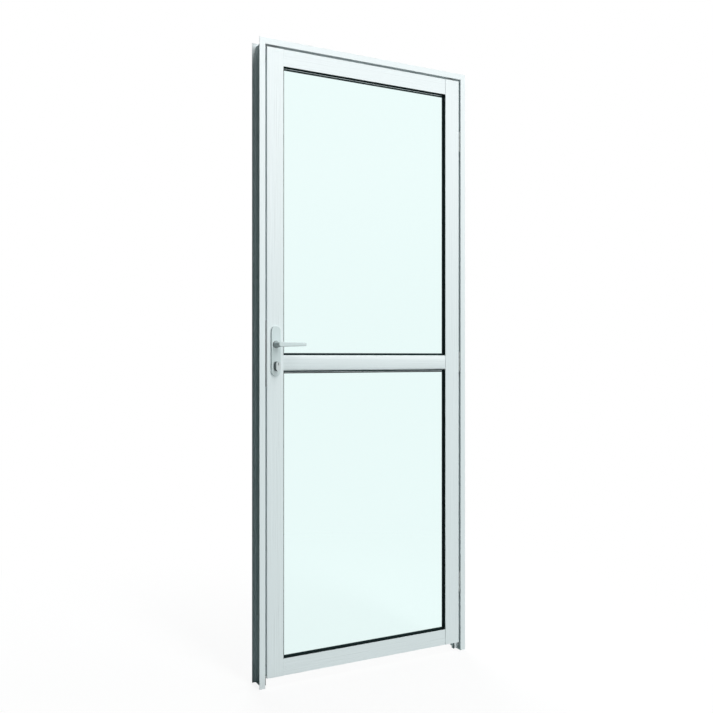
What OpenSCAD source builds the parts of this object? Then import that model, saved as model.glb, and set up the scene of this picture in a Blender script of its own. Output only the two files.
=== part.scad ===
// Glass door with its frame.
// The leaf has two full-height hollow stiles with three rails between them and two panes.
// The frame is a mitred head and two jambs of one hollow section, with no sill.
// Origin: bottom centre of the frame, on the middle plane of the leaf.
// +Z is up and -Y is the outside; the leaf opens outwards about the right-hand jamb.

/* [Frame] */
// Overall width of the frame
frame_w = 800; // [700:1:1000]
// Overall height of the frame
frame_h = 2100; // [1950:1:2400]
// Depth of the frame between its two flange faces
frame_depth = 68; // [60:1:90]
// Width of the frame face seen from the front
face_w = 20; // [19:0.5:30]
// How far the flanges stand past the web, over the wall
flange_overhang = 12; // [8:0.5:13]
// Thickness of the front and back flanges
flange_t = 1.8; // [1.5:0.1:2.5]
// Wall of the hollow frame body and of the stop
frame_wall = 1.5; // [1.2:0.1:1.8]
// Width of the door stop
stop_w = 13; // [11:0.5:18]
// Depth of the door stop
stop_d = 10; // [8:0.5:14]
// Room for the seal between the stop and the closed leaf
seal_room = 2.5; // [2:0.1:4]
// Diameter of the wall fixing holes in the jambs
fixing_d = 6.5; // [5:0.1:9]
// Height of the lowest wall fixing above the bottom, and of the highest below the top
fixing_inset = 225; // [150:1:350]

/* [Leaf] */
// Thickness of the leaf
leaf_t = 24; // [23.5:0.5:32]
// Gap between the leaf and the frame at the sides and top
leaf_gap = 7; // [6.5:0.5:9]
// How far the leaf face lies behind the frame face
leaf_recess = 2; // [0:0.5:4]
// Height of the leaf's bottom edge above the bottom of the jambs
leaf_bottom = 30; // [8:1:60]
// Face width of the stiles
stile_w = 57; // [56:0.5:80]
// Face height of the top and bottom rails
rail_w = 55; // [50:0.5:90]
// Face height of the middle rail
mid_w = 50; // [46:0.5:80]
// Height of the middle rail's centre line
mid_z = 1050; // [900:0.5:1200]
// How far the middle rail's face bulges at its centre line
mid_crown = 0.35; // [0.2:0.05:1]
// Chamfer along the middle rail's upper and lower edges
mid_chamfer = 3.4; // [2:0.1:3.6]
// Wall of the hollow stiles and rails
leaf_wall = 1.6; // [1.2:0.1:2]
// Width of the glazing leg that overlaps the pane
leg_w = 13; // [11:0.5:15]
// Thickness of the rails' glazing leg
leg_t = 1.8; // [1.6:0.1:2.4]
// How far the stiles' faces stand proud of the rails
rail_step = 1; // [0.5:0.1:1.5]

/* [Glazing] */
// Thickness of the glass
glass_t = 4; // [4:0.5:5]
// Depth of the glass behind the leaf face
glass_inset = 14; // [11:0.5:14]
// Gap between the edge of the glass and the hollow sections
glass_gap = 4; // [3:0.5:5]
// Width of the gasket lip that shows on the glass
gasket_lip = 7.5; // [3:0.1:9]
// Thickness of the gasket lip
gasket_foot_t = 1; // [0.8:0.1:2]
// Thickness of the gasket wall behind the glazing leg
gasket_wall_t = 3; // [1.5:0.1:4]
// Thickness of the gasket between the glass and the beads
inner_gasket_t = 1.2; // [1:0.1:1.5]
// Wall of the hollow glazing beads
bead_wall = 1.1; // [1:0.1:1.2]
// Length of a setting block
block_l = 60; // [30:1:100]

/* [Hinges] */
// Height of a hinge
hinge_h = 70; // [60:1:110]
// Distance from the top or bottom of the leaf to the centre of the outer hinges
hinge_inset = 220; // [150:1:320]
// Thickness of the hinge plates
hinge_plate_t = 2; // [1.5:0.1:2.4]
// Width of the hinge plates, from the pin
hinge_plate_w = 19; // [17:0.5:20]
// Diameter of the hinge pin
hinge_pin_d = 3; // [2.5:0.1:3.5]

/* [Handle] */
// Height of the lever spindle
spindle_z = 1110; // [1000:1:1200]
// Width of a handle plate
plate_w = 32; // [30:0.5:40]
// Height of a handle plate
plate_h = 163; // [140:1:220]
// Height of the key axis above the bottom of the handle plate
plate_drop = 40; // [38:0.5:50]
// Thickness of a handle plate
plate_t = 8; // [6:0.5:10]
// Distance of the lever's outer face from the leaf face
lever_reach = 52; // [45:0.5:65]
// Length of the lever from the spindle axis to its tip
lever_l = 89; // [75:1:130]
// Height of the lever at the spindle
lever_root_h = 16; // [13:0.5:18]
// Height of the lever at its tip
lever_tip_h = 10.5; // [8:0.5:13]
// Thickness of the lever
lever_t = 11; // [8:0.5:14]
// Diameter of the lever neck
neck_d = 20; // [19:0.5:22]
// Side of the square spindle
spindle_s = 8; // [6:0.5:8]
// Angle through which the lever turns
lever_turn = 35; // [25:1:45]

/* [Lock] */
// Distance from the spindle down to the key axis
key_drop = 63; // [62:0.5:72]
// Length of the lock cylinder
cylinder_l = 80; // [60:1:100]
// Width of the lock cylinder, which has straight sides and round ends
cylinder_d = 16; // [15.5:0.5:17]
// Height of the lock cylinder
cylinder_h = 31; // [30.5:0.5:33]
// Diameter of the key plug
plug_d = 12.5; // [12:0.5:13.5]
// Radius swept by the cylinder cam
cam_r = 15.25; // [14.5:0.25:15.5]
// Thickness of the lock case
case_t = 16; // [15:0.5:17]
// Wall of the lock case
case_wall = 1.5; // [1.2:0.1:1.8]
// Thickness of the faceplate
faceplate_t = 2; // [1.5:0.1:2.5]
// Width of the faceplate
faceplate_w = 20; // [18:0.5:22]
// Thickness of the latch bolt and the deadbolt
bolt_t = 10; // [8:0.5:11]
// Height of the latch bolt
latch_h = 16; // [14:0.5:18]
// Height of the deadbolt
deadbolt_h = 18; // [14:0.5:20]

/* [Strike] */
// Thickness of the strike plate
strike_t = 1.5; // [1.2:0.1:2]
// Width of the strike plate
strike_w = 22; // [20:0.5:24]

/* [Hidden] */
$fn = 64;
// One overrun serves all cuts
overrun = 1;
// Clearance of a running fit, on the radius
run_clear = 0.05;
// Clearance of a sliding or dropped-in piece, each side
slide_clear = 0.2;
// Clearance of a hole cut round a piece that it must not touch, each side
cut_clear = 0.5;
// Clearance of a seal from the face that it closes on
seal_clear = 0.3;

// Places of the leaf and frame
frame_x = frame_w / 2;
rebate_x = frame_x - face_w;
web_x = frame_x - flange_overhang;
leaf_x = rebate_x - leaf_gap;
leaf_top = frame_h - face_w - leaf_gap;
leaf_y = leaf_t / 2;
face_y = -leaf_y - leaf_recess;
rail_y = -leaf_y + rail_step;
leg_back_y = rail_y + leg_t;
stop_y = leaf_y + seal_room;
fixing_y = (stop_y + stop_d + face_y + frame_depth) / 2;
fixing_count = 4;
fixing_pitch = (frame_h - 2 * fixing_inset) / (fixing_count - 1);
section_w = face_w + stop_w;

// Frame seal
seal_groove_w = 4;
seal_groove_d = 2.5;
seal_groove_edge = 2;
seal_bulb_d = 2 * (seal_room - seal_clear);
seal_bulb_edge = 2.5;

// Frame corner cleats
cleat_w = 48;
cleat_arm = 70;

// Leaf sections
tube_w = stile_w - leg_w;
tube_x = leaf_x - tube_w;
sight_x = leaf_x - stile_w;
rail_tube_w = rail_w - leg_w;
mid_tube_w = mid_w - 2 * leg_w;
rail_l = 2 * tube_x;
crown_r = (pow(mid_w / 2, 2) + pow(mid_crown, 2)) / (2 * mid_crown);
joint_gap = 0.5;
mid_nose_w = 4.5;
mid_nose_d = 5;
mid_nose_y = rail_y + mid_nose_d;
port_d = 7;
port_bore = 4;
port_slot = 1.6;
port_sink = 0.5;
rail_screw_l = 36;
rail_screw_head_d = 8;
rail_screw_head_h = 2;

// Panes, each with the heights of its lower and upper sight lines
panes = [
    [leaf_bottom + rail_w, mid_z - mid_w / 2],
    [mid_z + mid_w / 2, leaf_top - rail_w]
];
glass_y = -leaf_y + glass_inset;
bead_y = glass_y + glass_t + inner_gasket_t;
bead_d = leaf_y - bead_y;
bead_pocket = bead_d - 2 * bead_wall;
glass_bite = leg_w - glass_gap;
gasket_seat = 7;
inner_gasket_lip = 1.5;
nib_w = 3;
nib_share = 0.5;
block_w = 6;
block_place_share = 0.25;

// Hinges
hinge_x = rebate_x - leaf_gap / 2;
knuckle_clear = 0.5;
knuckle_d = leaf_gap - 2 * knuckle_clear;
hinge_y = -leaf_y + knuckle_d / 2;
middle_knuckle_share = 0.4;
middle_knuckle_h = hinge_h * middle_knuckle_share;
washer_t = 0.8;
washer_clear = 0.1;
knuckle_gap = washer_t + 2 * washer_clear;
pin_head_h = 1.5;
hinge_screw_d = 3.6;
hinge_screw_head_d = 7;
hinge_screw_l = 7.5;
hinge_screw_y_share = 0.62;
hinge_screw_z_share = 0.32;
hinge_count = 3;

// Handle plates and levers
backset = stile_w / 2;
lock_x = -leaf_x + backset;
key_z = spindle_z - key_drop;
plate_bottom = key_z - plate_drop;
plate_top = plate_bottom + plate_h;
plate_wall = 2.2;
plate_edge_r = 1.2;
plate_bolt_edge = 9;
plate_bolt_d = 5;
plate_bolt_head_d = 9;
plate_bolt_head_h = 2.6;
plate_boss_d = 13;
bush_d = 23;
journal_d = 15;
lever_edge_r = 2;
neck_shoulder = 0.3;
socket_depth = 30;
spindle_l = 2 * (leaf_y + plate_t + socket_depth - 2 * lever_edge_r);
grub_d = 5;
grub_y_share = 0.5;

// Lock case
case_front = -leaf_x;
case_gap = 2.4;
case_back = -tube_x - leaf_wall - case_gap;
case_margin = 3;
case_bottom = plate_bottom - case_margin;
case_y = case_t / 2;
case_inner_y = case_y - case_wall;
case_bolt_hole_d = 9;
faceplate_margin = 30;
faceplate_screw_edge = 10;
faceplate_x = -leaf_x - faceplate_t;
small_screw_d = 4;
small_screw_head_d = 8;
small_screw_l = 14;
hub_d = 18;
hub_journal_d = 14;
hub_end_clear = 0.3;

// The latch and the deadbolt reach from the faceplate almost to the web of the jamb
throw_clear = 0.5;
bolt_throw = faceplate_x + web_x - frame_wall - throw_clear;

// Latch: an arm on the hub leans towards the faceplate and pushes a lug on the latch tail
arm_lean = 30;
arm_tip_d = 6;
arm_root_d = 10;
arm_r = bolt_throw / (sin(arm_lean) + sin(lever_turn - arm_lean));
arm_clear = 0.7;
lug_clear = 0.7;
lug_t = 4;
lug_bottom = arm_r * cos(arm_lean) + arm_clear;
tail_bottom = arm_r + arm_tip_d / 2 + arm_clear;
tail_h = 6;
latch_rise = tail_bottom + tail_h / 2;
latch_guide = 11;
latch_tip_t = 3;
ear_h = 12;
ear_t = 3;
ear_inset = 3;
case_top = spindle_z + latch_rise + latch_h / 2 + ear_h + case_margin;
spring_d = 6;
spring_wire = 0.8;
spring_turns = 9;
spring_steps = 16;
spring_sides = 8;

// Deadbolt and cylinder
deadbolt_clear = 3.5;
deadbolt_z = key_z + cam_r + deadbolt_clear + deadbolt_h / 2;
deadbolt_tail_gap = 5;
guide_t = 1.6;
cylinder_top_r = cylinder_d / 2;
cam_w = 9.6;
cam_gap_w = 10.4;
cam_finger_w = 8;
cam_bridge_clear = 0.7;
keyway_w = 2.4;
keyway_h = 8.5;
keyway_depth = 26;
cylinder_screw_d = 5;

// Plate bolts, below the cylinder and in the room between the deadbolt and the hub
upper_bolt_share = 0.4;
upper_bolt_low = deadbolt_z + deadbolt_h / 2 + slide_clear + guide_t;
upper_bolt_room = spindle_z - hub_d / 2 - upper_bolt_low;
plate_bolt_zs = [plate_bottom + plate_bolt_edge, upper_bolt_low + upper_bolt_room * upper_bolt_share];

// Strike
strike_margin = 14;
strike_hole_clear = 1.2;
strike_screw_edge = 6;
strike_top = spindle_z + latch_rise + latch_h / 2 + strike_margin;
strike_bottom = deadbolt_z - deadbolt_h / 2 - strike_margin;
strike_screw_l = 7;

// Extrudes a section of (distance in from the outer edge, Y) upwards at the left
module left_upright(x, z0, z1) {
    translate([-x, 0, z0]) linear_extrude(z1 - z0) children();
}

// Extrudes the same kind of section along X, measured downwards from a top edge
module top_bar(z, length) {
    translate([-length / 2, 0, z]) rotate([0, 90, 0]) linear_extrude(length) children();
}

// Extrudes the same kind of section along X, measured upwards from a bottom edge
module bottom_bar(z, length) {
    translate([0, 0, z]) mirror([0, 0, 1]) top_bar(0, length) children();
}

// Extrudes an outline of (X, Z) along Y, from y0 to y1
module along_y(y0, y1) {
    translate([0, y1, 0]) rotate([90, 0, 0]) linear_extrude(y1 - y0) children();
}

// A cylinder along Y, from y0 to y1, at (x, z)
module rod_y(x, z, d, y0, y1) {
    translate([x, y1, z]) rotate([90, 0, 0]) cylinder(d = d, h = y1 - y0);
}

// A box from its two corners
module box(low, high) {
    translate(low) cube(high - low);
}

// A countersunk screw that points along +X from its head face
module countersunk_screw(d, head_d, length) {
    rotate([0, 90, 0]) {
        cylinder(d1 = head_d, d2 = d, h = (head_d - d) / 2);
        cylinder(d = d, h = length);
    }
}

// The hole for that screw, with a sliding clearance
module countersunk_hole(d, head_d, length) {
    rotate([0, 90, 0]) {
        cylinder(d1 = head_d + 2 * slide_clear, d2 = d, h = (head_d - d) / 2 + slide_clear);
        translate([0, 0, -overrun]) cylinder(d = d + 2 * run_clear, h = length + overrun);
    }
}

// Frame

// Section of the jambs and head: a flat hollow body with a flange at each face and a hollow stop
module frame_section() {
    body_w = face_w - flange_overhang;
    difference() {
        union() {
            translate([flange_overhang, face_y]) square([body_w, frame_depth]);
            translate([0, face_y]) square([face_w, flange_t]);
            translate([0, face_y + frame_depth - flange_t]) square([face_w, flange_t]);
            translate([face_w - frame_wall, stop_y]) square([stop_w + frame_wall, stop_d]);
        }
        translate([flange_overhang + frame_wall, face_y + flange_t])
            square([body_w - 2 * frame_wall, frame_depth - 2 * flange_t]);
        translate([face_w, stop_y + seal_groove_d + frame_wall])
            square([stop_w - frame_wall, stop_d - seal_groove_d - 2 * frame_wall]);
        translate([section_w - seal_groove_edge - seal_groove_w, stop_y - overrun])
            square([seal_groove_w, seal_groove_d + overrun]);
    }
}

// Section of the seal: a foot in the stop's groove and a half-round bulb towards the leaf
module seal_section() {
    foot_w = seal_groove_w - 2 * slide_clear;
    foot_d = seal_groove_d - slide_clear;
    groove_middle = section_w - seal_groove_edge - seal_groove_w / 2;
    translate([groove_middle - foot_w / 2, stop_y]) square([foot_w, foot_d]);
    intersection() {
        translate([section_w - seal_bulb_edge, stop_y]) circle(d = seal_bulb_d);
        translate([0, stop_y - seal_bulb_d]) square([section_w, seal_bulb_d]);
    }
}

// Left upright with its top end mitred to meet the head
module mitred_upright() {
    intersection() {
        left_upright(frame_x, 0, frame_h) children();
        along_y(face_y - overrun, face_y + frame_depth + overrun)
            polygon([
                [-frame_x, 0], [-frame_x + section_w, 0],
                [-frame_x + section_w, frame_h - section_w], [-frame_x, frame_h]
            ]);
    }
}

// Head with both ends mitred
module mitred_head() {
    inner_x = frame_x - section_w;
    intersection() {
        top_bar(frame_h, frame_w) children();
        along_y(face_y - overrun, face_y + frame_depth + overrun)
            polygon([
                [-frame_x, frame_h], [-inner_x, frame_h - section_w],
                [inner_x, frame_h - section_w], [frame_x, frame_h]
            ]);
    }
}

module fixing_holes() {
    for (i = [0:fixing_count - 1])
        translate([-web_x - overrun, fixing_y, fixing_inset + i * fixing_pitch])
            rotate([0, 90, 0]) cylinder(d = fixing_d, h = web_x - rebate_x + 2 * overrun);
}

// Pockets in the strike side for the latch and the deadbolt, as boxes of a given clearance
module bolt_pockets(clear, x0, x1) {
    latch_z = spindle_z + latch_rise;
    for (place = [[latch_z, latch_h], [deadbolt_z, deadbolt_h]])
        box(
            [x0, -bolt_t / 2 - clear, place[0] - place[1] / 2 - clear],
            [x1, bolt_t / 2 + clear, place[0] + place[1] / 2 + clear]
        );
}

module strike_screw_places() {
    for (z = [strike_bottom + strike_screw_edge, strike_top - strike_screw_edge])
        translate([-rebate_x + strike_t, 0, z]) mirror([1, 0, 0]) children();
}

module frame_head() {
    color("gainsboro") mitred_head() frame_section();
}

module lock_jamb() {
    color("gainsboro") difference() {
        mitred_upright() frame_section();
        fixing_holes();
        bolt_pockets(strike_hole_clear, -rebate_x - frame_wall - overrun, -rebate_x + overrun);
        strike_screw_places() countersunk_hole(small_screw_d, small_screw_head_d, strike_screw_l);
    }
}

module hinge_jamb() {
    color("gainsboro") difference() {
        mirror([1, 0, 0]) mitred_upright() frame_section();
        mirror([1, 0, 0]) fixing_holes();
        for (i = [1:hinge_count]) frame_hinge_screw_places(i)
            countersunk_hole(hinge_screw_d, hinge_screw_head_d, hinge_screw_l);
    }
}

// Angle piece in the hollow of a jamb and the head
module lock_corner_cleat() {
    near = flange_overhang + frame_wall + slide_clear;
    far = face_w - frame_wall - slide_clear;
    middle_y = face_y + frame_depth / 2;
    color("silver") along_y(middle_y - cleat_w / 2, middle_y + cleat_w / 2)
        polygon([
            [-frame_x + near, frame_h - near - cleat_arm], [-frame_x + near, frame_h - near],
            [-frame_x + near + cleat_arm, frame_h - near], [-frame_x + near + cleat_arm, frame_h - far],
            [-frame_x + far, frame_h - far], [-frame_x + far, frame_h - near - cleat_arm]
        ]);
}

module hinge_corner_cleat() {
    mirror([1, 0, 0]) lock_corner_cleat();
}

module frame_seal() {
    color("black") {
        mitred_head() seal_section();
        mitred_upright() seal_section();
        mirror([1, 0, 0]) mitred_upright() seal_section();
    }
}

module strike_plate() {
    color("silver") difference() {
        box(
            [-rebate_x, -strike_w / 2, strike_bottom],
            [-rebate_x + strike_t, strike_w / 2, strike_top]
        );
        bolt_pockets(strike_hole_clear, -rebate_x - overrun, -rebate_x + strike_t + overrun);
        strike_screw_places() countersunk_hole(small_screw_d, small_screw_head_d, strike_screw_l);
    }
}

module strike_screws() {
    color("silver") strike_screw_places()
        countersunk_screw(small_screw_d, small_screw_head_d, strike_screw_l);
}

// Hinges

function hinge_z(i) =
    let (low = leaf_bottom + hinge_inset, high = leaf_top - hinge_inset)
    low + (high - low) * (i - 1) / (hinge_count - 1);

module knuckle(z0, z1) {
    translate([hinge_x, hinge_y, z0]) cylinder(d = knuckle_d, h = z1 - z0);
}

module hinge_bore(i) {
    translate([hinge_x, hinge_y, hinge_z(i) - hinge_h / 2 - overrun])
        cylinder(d = hinge_pin_d + 2 * run_clear, h = hinge_h + 2 * overrun);
}

// Room in a hinge plate for the other plate's knuckles, between two heights
module knuckle_room(z0, z1) {
    reach = knuckle_d / 2 + knuckle_clear;
    box([hinge_x - leaf_gap, hinge_y - reach, z0], [hinge_x + leaf_gap, hinge_y + reach, z1]);
}

module hinge_screw_pair(i) {
    y = hinge_y + hinge_plate_w * hinge_screw_y_share;
    for (side = [-1, 1])
        translate([0, y, hinge_z(i) + side * hinge_h * hinge_screw_z_share]) children();
}

module frame_hinge_screw_places(i) {
    hinge_screw_pair(i) translate([rebate_x - hinge_plate_t, 0, 0]) children();
}

module leaf_hinge_screw_places(i) {
    hinge_screw_pair(i) translate([leaf_x + hinge_plate_t, 0, 0]) mirror([1, 0, 0]) children();
}

module hinge_frame_plate(i) {
    z = hinge_z(i);
    low = z - hinge_h / 2;
    high = z + hinge_h / 2;
    room = middle_knuckle_h / 2 + knuckle_gap;
    color("dimgray") difference() {
        union() {
            difference() {
                box([rebate_x - hinge_plate_t, hinge_y, low], [rebate_x, hinge_y + hinge_plate_w, high]);
                knuckle_room(z - room, z + room);
            }
            knuckle(low, z - room);
            knuckle(z + room, high);
        }
        hinge_bore(i);
        frame_hinge_screw_places(i) countersunk_hole(hinge_screw_d, hinge_screw_head_d, hinge_screw_l);
    }
}

module hinge_leaf_plate(i) {
    z = hinge_z(i);
    low = z - hinge_h / 2;
    high = z + hinge_h / 2;
    middle = middle_knuckle_h / 2;
    color("dimgray") difference() {
        union() {
            difference() {
                box([leaf_x, hinge_y, low], [leaf_x + hinge_plate_t, hinge_y + hinge_plate_w, high]);
                knuckle_room(low - overrun, z - middle);
                knuckle_room(z + middle, high + overrun);
            }
            knuckle(z - middle, z + middle);
        }
        hinge_bore(i);
        leaf_hinge_screw_places(i) countersunk_hole(hinge_screw_d, hinge_screw_head_d, hinge_screw_l);
    }
}

module hinge_pins() {
    color("dimgray") for (i = [1:hinge_count]) translate([hinge_x, hinge_y, hinge_z(i) - hinge_h / 2]) {
        translate([0, 0, -pin_head_h]) cylinder(d = knuckle_d, h = pin_head_h);
        cylinder(d = hinge_pin_d, h = hinge_h);
        translate([0, 0, hinge_h]) cylinder(d = knuckle_d, h = pin_head_h);
    }
}

module hinge_washers() {
    color("black") for (i = [1:hinge_count], side = [-1, 1])
        translate([hinge_x, hinge_y, hinge_z(i) + side * (middle_knuckle_h + knuckle_gap) / 2])
            difference() {
                cylinder(d = knuckle_d, h = washer_t, center = true);
                cylinder(d = hinge_pin_d + 2 * run_clear, h = washer_t + 2 * overrun, center = true);
            }
}

module hinge_frame_screws() {
    color("dimgray") for (i = [1:hinge_count]) frame_hinge_screw_places(i)
        countersunk_screw(hinge_screw_d, hinge_screw_head_d, hinge_screw_l);
}

module hinge_leaf_screws() {
    color("dimgray") for (i = [1:hinge_count]) leaf_hinge_screw_places(i)
        countersunk_screw(hinge_screw_d, hinge_screw_head_d, hinge_screw_l);
}

// Leaf

// Rib that a glazing bead clips onto, on the tube face at a given distance from the outer edge
module bead_nib(from) {
    nib_t = bead_pocket * nib_share;
    translate([from, (bead_y + leaf_y - nib_t) / 2]) square([nib_w, nib_t]);
}

// Hollow of a stile or rail tube
module tube_cavity(from, to, front) {
    translate([from + leaf_wall, front + leaf_wall])
        square([to - from - 2 * leaf_wall, leaf_y - front - 2 * leaf_wall]);
}

module stile_section() {
    difference() {
        union() {
            translate([0, -leaf_y]) square([tube_w, leaf_t]);
            translate([0, -leaf_y]) square([stile_w, leg_back_y + leaf_y]);
        }
        tube_cavity(0, tube_w, -leaf_y);
    }
}

// Distances of a rail's two screw ports from its outer edge
function port_places(from, to) =
    let (edge = leaf_wall + port_d / 2 - port_sink)
    [from + edge, to - edge];

// Section of a rail whose tube lies between two distances from its outer edge.
// The glazing leg covers the rest of the face, and each port opens towards the middle.
module rail_section(face, from, to) {
    ports = port_places(from, to);
    difference() {
        union() {
            difference() {
                union() {
                    translate([from, rail_y]) square([to - from, leaf_y - rail_y]);
                    translate([0, rail_y]) square([face, leg_t]);
                }
                tube_cavity(from, to, rail_y);
            }
            for (p = ports) translate([p, 0]) circle(d = port_d);
        }
        for (p = ports) translate([p, 0]) circle(d = port_bore + 2 * run_clear);
        translate([ports[0], -port_slot / 2]) square([ports[1] - ports[0], port_slot]);
    }
}

// Cuts the rail's face back at both ends, where it runs behind the stiles' glazing legs
module leg_notches(z0, z1) {
    for (side = [0, 1]) mirror([side, 0, 0])
        box(
            [sight_x - joint_gap, rail_y - overrun, z0 - overrun],
            [tube_x + overrun, leg_back_y, z1 + overrun]
        );
}

// Ends of the rail screws, at the heights of all the ports
function rail_screw_zs() = concat(
    [for (p = port_places(0, rail_tube_w)) leaf_bottom + p],
    [for (p = port_places(leg_w, leg_w + mid_tube_w)) mid_z - mid_w / 2 + p],
    [for (p = port_places(0, rail_tube_w)) leaf_top - p]
);

module rail_screw_holes() {
    for (z = rail_screw_zs()) translate([-leaf_x, 0, z]) rotate([0, 90, 0]) {
        translate([0, 0, -overrun])
            cylinder(d = rail_screw_head_d + 2 * cut_clear, h = leaf_wall + 2 * overrun);
        cylinder(d = port_bore + 2 * run_clear, h = tube_w + overrun);
    }
}

// Left stile without the lock's cuts
module plain_stile() {
    difference() {
        union() {
            left_upright(leaf_x, leaf_bottom, leaf_top) stile_section();
            for (pane = panes)
                left_upright(leaf_x, pane[0], pane[1]) bead_nib(tube_w);
        }
        rail_screw_holes();
    }
}

module lock_stile() {
    color("gainsboro") difference() {
        plain_stile();
        box(
            [-leaf_x - overrun, -case_y - slide_clear, case_bottom - slide_clear],
            [-leaf_x + leaf_wall + overrun, case_y + slide_clear, case_top + slide_clear]
        );
        rod_y(lock_x, spindle_z, hub_d, -leaf_y - overrun, leaf_y + overrun);
        for (z = plate_bolt_zs)
            rod_y(lock_x, z, plate_bolt_d + 2 * cut_clear, -leaf_y - overrun, leaf_y + overrun);
        profile_cut(cut_clear, -leaf_y - overrun, leaf_y + overrun);
        faceplate_screw_places() countersunk_hole(small_screw_d, small_screw_head_d, small_screw_l);
    }
}

module hinge_stile() {
    color("gainsboro") difference() {
        mirror([1, 0, 0]) plain_stile();
        for (i = [1:hinge_count]) leaf_hinge_screw_places(i)
            countersunk_hole(hinge_screw_d, hinge_screw_head_d, hinge_screw_l);
    }
}

module top_rail() {
    color("gainsboro") difference() {
        top_bar(leaf_top, rail_l) {
            rail_section(rail_w, 0, rail_tube_w);
            bead_nib(rail_tube_w);
        }
        leg_notches(leaf_top - rail_w, leaf_top);
    }
}

module bottom_rail() {
    color("gainsboro") difference() {
        bottom_bar(leaf_bottom, rail_l) {
            rail_section(rail_w, 0, rail_tube_w);
            bead_nib(rail_tube_w);
        }
        leg_notches(leaf_bottom, leaf_bottom + rail_w);
    }
}

// Trims a section to the middle rail's slightly bulging face with a chamfer along each edge
module mid_trim() {
    difference() {
        intersection() {
            children();
            translate([mid_w / 2, rail_y + crown_r]) circle(r = crown_r, $fn = 720);
        }
        for (edge = [0, mid_w]) translate([edge, rail_y + mid_crown])
            rotate(45) square(mid_chamfer * sqrt(2), center = true);
    }
}

// The middle rail has a leg and a nib at both sides, and a thick nose along both edges of its face
module mid_rail() {
    low = mid_z - mid_w / 2;
    color("gainsboro") {
        difference() {
            bottom_bar(low, rail_l) {
                mid_trim() rail_section(mid_w, leg_w, leg_w + mid_tube_w);
                bead_nib(leg_w + mid_tube_w);
                bead_nib(leg_w - nib_w);
            }
            leg_notches(low, low + mid_w);
        }
        bottom_bar(low, 2 * (sight_x - joint_gap)) mid_trim()
            for (from = [0, mid_w - mid_nose_w])
                translate([from, rail_y]) square([mid_nose_w, mid_nose_d]);
    }
}

module rail_screws() {
    start = tube_w - leaf_wall - rail_screw_head_h;
    color("silver") for (side = [0, 1], z = rail_screw_zs()) mirror([side, 0, 0])
        translate([-leaf_x + start, 0, z]) rotate([0, 90, 0]) {
            cylinder(d = rail_screw_head_d, h = rail_screw_head_h);
            cylinder(d = port_bore, h = rail_screw_l);
        }
}

// Glazing

// Rectangle round a pane's sight lines, moved outwards by a distance
module pane_outline(pane, out) {
    translate([-sight_x - out, pane[0] - out])
        square([2 * (sight_x + out), pane[1] - pane[0] + 2 * out]);
}

module pane_ring(pane, out, inside, y0, y1) {
    along_y(y0, y1) difference() {
        pane_outline(pane, out);
        pane_outline(pane, inside);
    }
}

module glass(pane) {
    color("honeydew", 0.4) along_y(glass_y, glass_y + glass_t) pane_outline(pane, glass_bite);
}

// Outside gasket: a wall behind the glazing leg and a lip that lies on the glass.
// Its wall is cut back behind the middle rail's nose.
module outer_gasket(pane) {
    color("black") {
        difference() {
            pane_ring(pane, gasket_wall_t, 0, leg_back_y, glass_y);
            box(
                [-sight_x, leg_back_y - overrun, mid_z - mid_w / 2],
                [sight_x, mid_nose_y, mid_z + mid_w / 2]
            );
        }
        pane_ring(pane, gasket_seat, -gasket_lip, glass_y - gasket_foot_t, glass_y);
    }
}

// Inside gasket, between the glass and the beads
module inner_gasket(pane) {
    color("black") pane_ring(pane, gasket_seat, -inner_gasket_lip, glass_y + glass_t, bead_y);
}

// Section of a bead: a channel that opens towards the tube that it clips to
module bead_section() {
    difference() {
        translate([0, bead_y]) square([leg_w, bead_d]);
        translate([-overrun, bead_y + bead_wall]) square([leg_w - bead_wall + overrun, bead_pocket]);
    }
}

module rail_beads(pane) {
    color("gainsboro") {
        bottom_bar(pane[0] - leg_w, rail_l) bead_section();
        top_bar(pane[1] + leg_w, rail_l) bead_section();
    }
}

module side_beads(pane) {
    color("gainsboro") for (side = [0, 1]) mirror([side, 0, 0])
        left_upright(tube_x, pane[0], pane[1]) bead_section();
}

// Blocks that carry the glass on the rails and centre it between the stiles
module setting_blocks() {
    y0 = glass_y + glass_t / 2 - block_w / 2;
    place_x = sight_x * 2 * block_place_share;
    color("black") for (pane = panes, side = [-1, 1]) {
        place_z = pane[0] + (pane[1] - pane[0]) * (side < 0 ? block_place_share : 1 - block_place_share);
        translate([side * place_x - block_l / 2, y0, pane[0] - leg_w]) cube([block_l, block_w, glass_gap]);
        translate([side < 0 ? -tube_x : tube_x - glass_gap, y0, place_z - block_l / 2])
            cube([glass_gap, block_w, block_l]);
    }
}

// Handle

// Outline of a handle plate, a flat slot shape moved inwards by an inset
module plate_outline(inset) {
    end_r = plate_w / 2;
    low = plate_bottom + end_r;
    high = plate_top - end_r;
    for (z = [low, high]) translate([lock_x, z]) circle(r = end_r - inset);
    translate([lock_x - end_r + inset, low]) square([plate_w - 2 * inset, high - low]);
}

// Half section of the plate across its width, with the outer edge rounded
module plate_half_section() {
    half = plate_w / 2;
    square([half - plate_edge_r, plate_t]);
    square([half, plate_t - plate_edge_r]);
    translate([half - plate_edge_r, plate_t - plate_edge_r]) circle(r = plate_edge_r);
}

// Solid plate with round ends, on the outside face of the leaf
module plate_blank() {
    end_r = plate_w / 2;
    low = plate_bottom + end_r;
    high = plate_top - end_r;
    for (z = [low, high]) translate([lock_x, -leaf_y, z]) rotate([90, 0, 0])
        rotate_extrude() plate_half_section();
    for (side = [0, 1]) translate([lock_x, -leaf_y, low]) mirror([side, 0, 0])
        linear_extrude(high - low) mirror([0, 1]) plate_half_section();
}

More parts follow.
